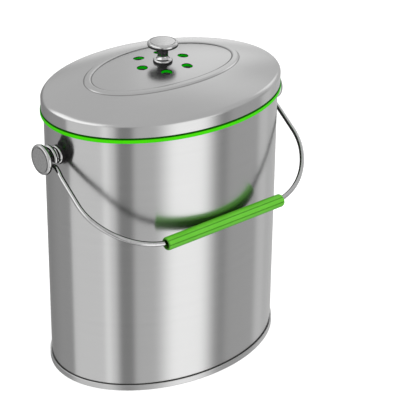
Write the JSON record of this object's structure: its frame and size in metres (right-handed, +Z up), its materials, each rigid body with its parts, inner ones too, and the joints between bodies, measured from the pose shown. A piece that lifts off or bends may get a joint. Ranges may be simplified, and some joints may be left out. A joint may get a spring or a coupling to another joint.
{
  "type": "compost caddy",
  "caption": "Oval steel compost caddy with a lift-off vented lid, a carbon filter under it and a swinging wire bail with a loose grip.",
  "frame": {"origin": "centre of the oval, on the plane that the foot stands on", "axes": "+Z up; +X along the long axis of the oval, through both bail studs; -Y is the front, where the bail rests"},
  "size_m": [0.2496, 0.1701, 0.2792],
  "materials": {
    "brushed_wall": "fine brushing round the wall",
    "pressed_steel": "plain cold-rolled",
    "brushed_lid": "fine satin",
    "polished_steel": "polished, fine turning marks",
    "bail_steel": "polished drawn wire",
    "washer_steel": "satin",
    "screw_steel": "bright",
    "seal_rubber": "smooth silicone",
    "holder_plastic": "moulded, fine texture",
    "grip_plastic": "satin, lengthwise ribs",
    "carbon_foam": "open-cell carbon foam"
  },
  "bodies": {
    "pail": {"pail_wall": "brushed_wall", "pail_floor": "pressed_steel", "foot_ring": "brushed_wall", "left_stud": "polished_steel", "right_stud": "polished_steel", "left_stud_washer": "washer_steel", "right_stud_washer": "washer_steel", "left_stud_screw": "screw_steel", "right_stud_screw": "screw_steel"},
    "lid": {"lid_shell": "brushed_lid", "lid_seal": "seal_rubber", "filter_holder": "holder_plastic", "lid_knob": "polished_steel", "knob_washer": "washer_steel", "knob_screw": "screw_steel"},
    "cover": {"filter_cover": "holder_plastic", "charcoal_filter": "carbon_foam"},
    "bail": {"bail_wire": "bail_steel"},
    "grip": {"bail_grip": "grip_plastic"}
  },
  "joints": [
    {"name": "lid_lift", "type": "slide", "parent": "pail", "child": "lid", "axis": [0, 0, 1], "range_m": [0, 0.12]},
    {"name": "cover_pull", "type": "slide", "parent": "lid", "child": "cover", "axis": [0, 0, -1], "range_m": [0, 0.025]},
    {"name": "bail_swing", "type": "hinge", "parent": "pail", "child": "bail", "pos_m": [0, 0, 0.2085], "axis": [-1, 0, 0], "range_deg": [0, 251.5]},
    {"name": "grip_spin", "type": "hinge", "parent": "bail", "child": "grip", "pos_m": [0, -0.0838, 0.1481], "axis": [1, 0, 0], "continuous": true}
  ]
}
